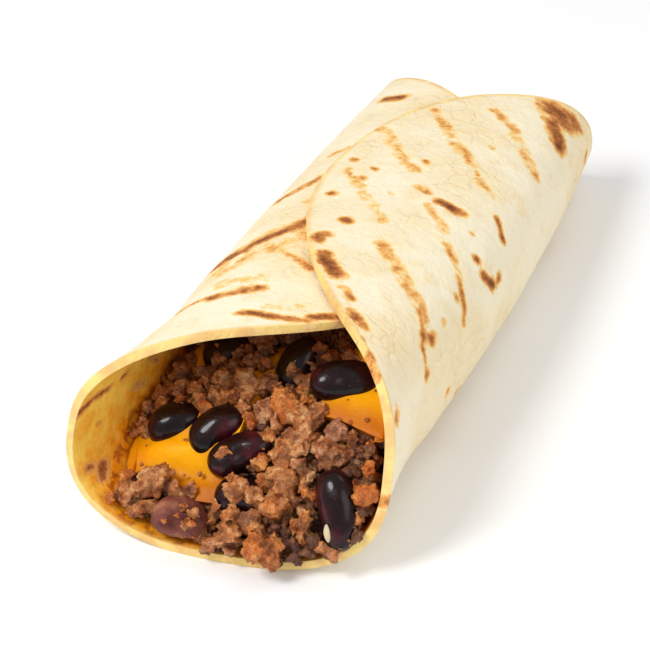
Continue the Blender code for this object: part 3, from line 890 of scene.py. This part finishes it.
def make_crumbles(look, shapes, wall):
    """The crumbles that show: those with a place of their own, then others in the gaps between."""
    rng = random.Random(5)
    heaps = {}
    taken = []

    def put(end, centre, size, tone, deep):
        """Add one crumble, moved in from the tortilla where it would reach into it."""
        kind = "small" if size < SMALL_BELOW else "middle" if size < MIDDLE_BELOW else "large"
        shape = rng.choice(shapes[kind])
        reach = 0.42 * size * MM
        near, normal, _, _ = wall.find_nearest(centre)
        gap = (centre - near).dot(normal)
        if gap < reach:
            centre = centre + normal * (reach - gap)
        turn = any_turn(rng)
        scale = Matrix.Diagonal([size / 2 * MM * share for share in three(rng, 0.85, 1.2)] + [1.0])
        heap = heaps.setdefault(end + "_" + kind, Heap())
        heap.add(shape, Matrix.Translation(centre) @ turn @ scale, tone, deep)
        taken.append((centre.copy(), size))

    for x, y, z, size, tone in MOUTH_CRUMBLES:
        # crumbles far back, under the upper flap, get painted shade through deep
        shaded = 0.6 * float(smooth(-66, -46, y))
        put("mouth", Vector((x, y, z)) * MM, size, tone + rng.uniform(-0.3, 0.3), shaded)
    beans = surface_of(*bean_nodes())
    cheese = surface_of("cheese_left", "cheese_right")
    solid = surface_of("ground_meat")
    faces = [face for face in frame["nodes"]["ground_meat"].data.polygons
             if face.normal.z > 0.1 or abs(face.normal.y) > 0.5]
    spots = [(face.center.copy(), face.area) for face in faces]
    weights = [area for _, area in spots]
    for _ in range(CRUMBLE_TRIES):
        point = near_face(rng, *rng.choices(spots, weights)[0])
        at_mouth, at_back = point.y < SHOWING_FRONT * MM, point.y > SHOWING_BACK * MM
        if not (at_mouth or at_back):
            continue
        spot, normal, _, _ = solid.find_nearest(point)
        size = rng.uniform(2.6, 6.6) if at_back else rng.uniform(2.2, 4.6)
        if any((spot - other).length < 0.3 * (size + wide) * MM for other, wide in taken):
            continue
        if beans.find_nearest(spot)[3] < 0.3 * size * MM or cheese.find_nearest(spot)[3] < 0.32 * size * MM:
            continue
        if wall.find_nearest(spot)[3] < 0.3 * size * MM:
            continue
        # the crumbles that fill the gaps get strong painted shade through deep
        put("mouth" if at_mouth else "back", spot - normal * 0.05 * size * MM, size, rng.uniform(-0.3, 0.4),
            rng.uniform(0.6, 1.0))
    for name, heap in heaps.items():
        heap.piece(name + "_crumbles", look)


LUMP_TONES = (0.5, -0.1, 0.4, 0.1)


def make_lumps(look, shapes):
    """The largest lumps of meat, each fitted to its solid."""
    rng = random.Random(21)
    for i, tone in enumerate(LUMP_TONES, 1):
        name = "meat_lump_%d" % i
        low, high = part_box(name)
        shape = shapes["huge"][i % len(shapes["huge"])]
        turn = any_turn(rng)
        turned = shape[0] @ np.array(turn.to_3x3()).T
        reach = turned.max(0) - turned.min(0)
        scale = Matrix.Diagonal(tuple((high - low)[k] / reach[k] for k in range(3)) + (1.0,))
        centre = Matrix.Translation(-Vector((turned.max(0) + turned.min(0)) / 2))
        lump = Heap()
        lump.add(shape, Matrix.Translation((low + high) / 2) @ scale @ centre @ turn, tone)
        lump.piece("mince_lump_%d" % i, look, name)


LOOSE_GRAINS = 170


def make_loose_grains(look, shapes):
    """Fine grains that cling to the beans and the cheese, most of them close to the meat."""
    rng = random.Random(8)
    heap = Heap()
    names = bean_nodes() + ["cheese_left", "cheese_right"]
    faces = [(face.center.copy(), face.area) for name in names for face in frame["nodes"][name].data.polygons]
    faces = [face for face in faces if face[0].y < -0.045 or face[0].y > 0.055]
    weights = [face[1] for face in faces]
    filling = surface_of("ground_meat")
    everything = surface_of(*names)
    count = 0
    while count < LOOSE_GRAINS:
        point = near_face(rng, *rng.choices(faces, weights)[0])
        spot, normal, _, _ = everything.find_nearest(point)
        near = math.exp(-filling.find_nearest(spot)[3] / (2.0 * MM))
        if normal.z < 0.2 or rng.random() > near:
            continue
        size = rng.uniform(0.2, 0.5)
        turn = any_turn(rng)
        scale = Matrix.Diagonal([size * MM * share for share in three(rng, 0.6, 1.4)] + [1.0])
        place = Matrix.Translation(spot + normal * (0.5 * size + 0.2) * MM)
        heap.add(rng.choice(shapes), place @ turn @ scale, rng.uniform(-0.2, 0.7))
        count += 1
    heap.piece("loose_grains", look)


# the place nearest to the shred, and half its depth, width and length
ONION_PLACE = (24.6, -84.8, 12.8)
ONION_HALVES = (0.5, 0.75, 2.3)


def make_onion_shred():
    """One shred of cooked onion that lies along the front bean: pale, moist and a little clear."""
    made, _, shader = new_material("cooked_onion")
    shader.inputs["Base Color"].default_value = colour("#d9c3a0")
    shader.inputs["Roughness"].default_value = 0.3
    shader.inputs["Subsurface Weight"].default_value = 0.3
    shader.inputs["Subsurface Radius"].default_value = (0.001, 0.0008, 0.0005)
    shader.inputs["Subsurface Scale"].default_value = 1.0
    spot, normal, _, _ = surface_of("bean_7").find_nearest(Vector(ONION_PLACE) * MM)
    deselect()
    bpy.ops.mesh.primitive_ico_sphere_add(subdivisions=4, radius=1.0)
    shred = bpy.context.object
    shred.name = "onion_shred"
    shape = points_of(shred.data) * np.array(ONION_HALVES)
    shape[:, 0] -= 0.07 * shape[:, 2] ** 2
    shape += 0.12 * noise_at(shape, 1.0)[:, None]
    out = normal.normalized()
    upward = Vector((-0.15, -0.2, 1.0))
    along = (upward - out * out.dot(upward)).normalized()
    axes = np.array([out, along.cross(out), along])
    set_points(shred.data, (shape @ axes) * MM + np.array(spot + out * 0.75 * MM))
    only(shred)
    bpy.ops.object.shade_smooth()
    finish_piece(shred, made, "browned_meat")


# ---------------------------------------------------------------------------------------------
# Beans
# ---------------------------------------------------------------------------------------------

# how blunt a bean's ends are, how much one end is fatter, its dent and its bend, as shares of its size
BEAN_BLUNTNESS = 2.35
BEAN_TAPER = 0.05
BEAN_DENT = 0.12
BEAN_BEND = 0.16
COATED_BEAN = "bean_11"
TUCKED_BEANS = ("bean_9",)
PLUMP_BEANS = ("bean_1", "bean_3")


def bean_axes(mesh):
    """A solid bean's centre, its three axes (long, wide, deep), half sizes and which way it bends."""
    points = points_of(mesh)
    centred = points - points.mean(0)
    _, axes = np.linalg.eigh(centred.T @ centred)
    axes = axes[:, ::-1].T
    if np.linalg.det(axes) < 0:
        axes[2] = -axes[2]
    place = points @ axes.T
    halves = (place.max(0) - place.min(0)) / 2
    middle = (place.max(0) + place.min(0)) / 2
    ends = np.abs(place[:, 0] - middle[0]) > 0.8 * halves[0]
    bend = np.sign(place[:, 1].mean() - place[ends, 1].mean())
    return middle @ axes, axes, halves, bend


def make_beans(look, coated):
    """A plump kidney shape for each bean, on the axes of its solid. One is coated in sauce."""
    for name in sorted(bean_nodes()):
        middle, axes, halves, bend = bean_axes(frame["nodes"][name].data)
        deselect()
        bpy.ops.mesh.primitive_ico_sphere_add(subdivisions=5, radius=1.0)
        bean = bpy.context.object
        bean.name = name.replace("bean", "plump_bean")
        unit = points_of(bean.data)
        ring = np.hypot(unit[:, 1], unit[:, 2]) + 1e-9
        along = np.sign(unit[:, 0]) * np.abs(unit[:, 0]) ** (2 / BEAN_BLUNTNESS)
        girth = ring ** (2 / BEAN_BLUNTNESS) * (1.0 + BEAN_TAPER * along)
        wide, deep = girth * unit[:, 1] / ring, girth * unit[:, 2] / ring
        dent = BEAN_DENT * np.exp(-(along / 0.3) ** 2) * np.clip(-bend * unit[:, 1], 0, 1) ** 2
        wide = wide + bend * (dent + BEAN_BEND * (0.4 - along ** 2))
        if name in TUCKED_BEANS:
            halves = halves * np.array([0.78, 0.85, 0.85])
            middle = middle + np.array([1.4, -0.6, -0.6]) * MM
        if name in PLUMP_BEANS:
            halves = halves * np.array([1.04, 1.14, 1.14])
        shape = np.stack([along * (halves[0] + 0.4 * MM), wide * (halves[1] + 0.4 * MM),
                          deep * (halves[2] + 0.7 * MM)], 1)
        points = shape @ axes + middle
        points += (0.12 * MM * noise_at(points / MM, 4.0, 2.0))[:, None] * unit @ axes
        set_points(bean.data, points)
        if name == COATED_BEAN:
            roughen(bean, 1.4, 0.9)
            roughen(bean, 0.6, 0.3)
            apply_modifiers(bean)
        only(bean)
        bpy.ops.object.shade_smooth()
        finish_piece(bean, coated if name == COATED_BEAN else look, "bean_skin", name)


# ---------------------------------------------------------------------------------------------
# Cheese
# ---------------------------------------------------------------------------------------------

# the filling's level: its share of the roll's height, its tilt and crown, and its slopes at both ends
FILL_SHARE = 0.617
FILL_TILT = 0.00596
FILL_CROWN = 0.0000957
FRONT_FOOT = -90.0
FRONT_SLOPE = 42.0
BACK_FOOT = 84.0
BACK_SLOPE = 30.0
FOOT_HEIGHT = 3.0
# the slices: how high they lie, how thick they are, their cells and their gap to the tortilla
CHEESE_LIFT = 0.8
CHEESE_THICKNESS = 2.2
CHEESE_CELLS = (40, 170)
CHEESE_CLEARANCE = 1.4

# folds in each slice: where, in millimetres from the middle of the roll, how wide each way, and rise
LEFT_FOLDS = [
    (-10.0, -74.5, 16.0, 1.8, 2.0), (-13.0, -78.2, 12.0, 1.7, -1.6), (-19.0, -69.0, 6.0, 4.0, 1.0),
    (-24.5, -45.0, 5.0, 6.0, 3.0),
]
RIGHT_FOLDS = [(20.0, -63.0, 3.0, 4.0, 0.6)]


def layer_height(x, y):
    """The smooth surface that the cheese lies on, in millimetres from the middle of the roll."""
    level = 2.0 * (HALF_HEIGHT - HEIGHT_TAPER * y) * (FILL_SHARE + FILL_TILT * x - FILL_CROWN * x * x)
    share = np.clip(np.minimum((y - FRONT_FOOT) / FRONT_SLOPE, (BACK_FOOT - y) / BACK_SLOPE), 0.0, 1.0)
    return FOOT_HEIGHT + (level - FOOT_HEIGHT) * np.sin(math.pi / 2 * share)


def make_cheese(name, node, look, left, right, front, back, folds):
    """A slice that sags over the filling: a grid laid on it, folded, thickened and softened."""
    deselect()
    bpy.ops.mesh.primitive_grid_add(x_subdivisions=CHEESE_CELLS[0], y_subdivisions=CHEESE_CELLS[1], size=2.0)
    piece = bpy.context.object
    piece.name = name
    flat = points_of(piece.data)
    y = front + (back - front) * (flat[:, 1] + 1) / 2
    wavy = 1.5 * np.sin(y / 9.0)
    x = left + (right + wavy - left) * (flat[:, 0] + 1) / 2
    y = y + 1.2 * np.sin(x / 7.0) * smooth(front + 12, front, y)
    z = layer_height(x, y) + CHEESE_LIFT
    for fold_x, fold_y, wide_x, wide_y, rise in folds:
        z = z + rise * np.exp(-((x - fold_x) / wide_x) ** 2 - ((y - fold_y) / wide_y) ** 2)
    z = z + 0.6 * noise_at(np.stack([x, y, 0 * x], 1), 6.0, 2.0)
    points = np.stack([x, y, z], 1) + np.array(ROLL_PLACE)
    wall = surface_of("tortilla")
    middle = (left + right) / 2 + ROLL_PLACE.x
    clearance = CHEESE_CLEARANCE * MM
    for i, point in enumerate(points):
        inner = Vector((middle, point[1], min(point[2], 26.0))) * MM
        way = Vector(point) * MM - inner
        hit = wall.ray_cast(inner, way.normalized(), way.length + clearance)[0]
        if hit is not None:
            points[i] = np.array(hit - way.normalized() * clearance) / MM
    set_points(piece.data, points * MM)
    # painted shade on the front drape: full within 1 mm of the slice's front edge, none from 7 mm back
    add_values(piece.data, "front_drape_shade", smooth(front + 7.0, front + 1.0, y))
    thick = piece.modifiers.new("slice", 'SOLIDIFY')
    thick.thickness = CHEESE_THICKNESS * MM
    thick.offset = -1.0
    soften_edges(piece, "melted edge")
    apply_modifiers(piece)
    bpy.ops.object.shade_smooth()
    finish_piece(piece, look, "melted_cheese", node)


# ---------------------------------------------------------------------------------------------
# Stage, lights and camera
# ---------------------------------------------------------------------------------------------

# azimuth and elevation in degrees, distance and size in metres, power in watts
LIGHTS = {
    "key": (-38.0, 50.0, 1.0, 0.4, 6.0),
    "fill": (65.0, 35.0, 1.0, 0.7, 1.8),
    "back": (150.0, 55.0, 1.1, 0.5, 1.2),
}
ROOM_LIGHT = 0.52
WHITE_CARD = (0.97, 0.97, 0.97, 1.0)

CAMERA_AZIMUTH = 22.52
CAMERA_ELEVATION = 35.94
CAMERA_DISTANCE = 0.6599
CAMERA_LENS = 155.08
SENSOR_WIDTH = 36.0
# the point that the camera looks at, in millimetres from the middle of the object's underside
AIM = Vector((-0.5, -21.1, 20.0))


def way_to(azimuth, elevation):
    """The way from the object to something at these angles, in degrees: 0 is in front of the mouth."""
    a, e = math.radians(azimuth), math.radians(elevation)
    return Vector((math.sin(a) * math.cos(e), -math.cos(a) * math.cos(e), math.sin(e)))


def area_light(name, azimuth, elevation, distance, size, power):
    """A soft round light that points at the object."""
    place = way_to(azimuth, elevation) * distance
    data = bpy.data.lights.new(name, 'AREA')
    data.shape = 'DISK'
    data.size = size
    data.energy = power
    light = bpy.data.objects.new(name, data)
    light.location = place
    light.rotation_euler = place.to_track_quat('Z', 'Y').to_euler()
    bpy.context.scene.collection.objects.link(light)


def make_studio():
    """A white card floor, an even pale room and three soft lights."""
    deselect()
    bpy.ops.mesh.primitive_plane_add(size=6.0, location=(0.0, 0.0, 0.0))
    floor = bpy.context.object
    floor.name = "pale_floor"
    made, _, shader = new_material("matt_white_card")
    shader.inputs["Base Color"].default_value = WHITE_CARD
    shader.inputs["Roughness"].default_value = 0.9
    floor.data.materials.append(made)
    world = bpy.data.worlds.new("studio")
    world.use_nodes = True
    sky = world.node_tree.nodes["Background"]
    sky.inputs["Color"].default_value = (1.0, 1.0, 1.0, 1.0)
    sky.inputs["Strength"].default_value = ROOM_LIGHT
    bpy.context.scene.world = world
    for name, settings in LIGHTS.items():
        area_light(name, *settings)


def make_camera():
    """A camera in front of the mouth, a little to its right, that looks down on the burrito."""
    low, high = CAD_BOX
    aim = Vector(((low.x + high.x) / 2, (low.y + high.y) / 2, 0.0)) + AIM * MM
    back = way_to(CAMERA_AZIMUTH, CAMERA_ELEVATION)
    data = bpy.data.cameras.new("camera")
    data.sensor_width = SENSOR_WIDTH
    data.lens = CAMERA_LENS
    camera = bpy.data.objects.new("camera", data)
    camera.location = aim + back * CAMERA_DISTANCE
    camera.rotation_euler = back.to_track_quat('Z', 'Y').to_euler()
    bpy.context.scene.collection.objects.link(camera)
    bpy.context.scene.camera = camera
    bpy.context.scene.view_settings.view_transform = 'Standard'


# The widths of the crumbles, and of the faces of their skin.
CRUMBLE_SIZES = {"small": (3.2, 0.27), "middle": (5.2, 0.35), "large": (7.6, 0.35), "huge": (9.4, 0.36)}
SHAPES_OF_EACH = 4


def build():
    """Make every piece, then the studio and the camera."""
    outside = griddled_flour("griddled_flour_outside", False)
    inside = griddled_flour("griddled_flour_inside", True)
    make_tortilla(outside, inside)
    make_heap_core(browned_mince("packed_mince_painted_shade", True))
    shapes = {}
    for kind, (size, skin) in CRUMBLE_SIZES.items():
        shapes[kind] = [crumble_shape(10 * i + int(size), size, skin) for i in range(SHAPES_OF_EACH)]
    mince = browned_mince("fried_mince", False)
    make_crumbles(mince, shapes, inner_wall())
    make_lumps(mince, shapes)
    make_loose_grains(mince, [grain_shape(i) for i in range(SHAPES_OF_EACH)])
    make_onion_shred()
    make_beans(bean_skin("dark_bean_skin"), bean_skin("sauced_bean_skin", True))
    cheese = melted_cheese("warm_cheddar_slice")
    make_cheese("left_cheese_slice", "cheese_left", cheese, -34.0, -3.0, -82.0, 78.0, LEFT_FOLDS)
    make_cheese("right_cheese_slice", "cheese_right", cheese, 12.0, 33.0, -66.5, 66.0, RIGHT_FOLDS)
    make_studio()
    make_camera()


build()
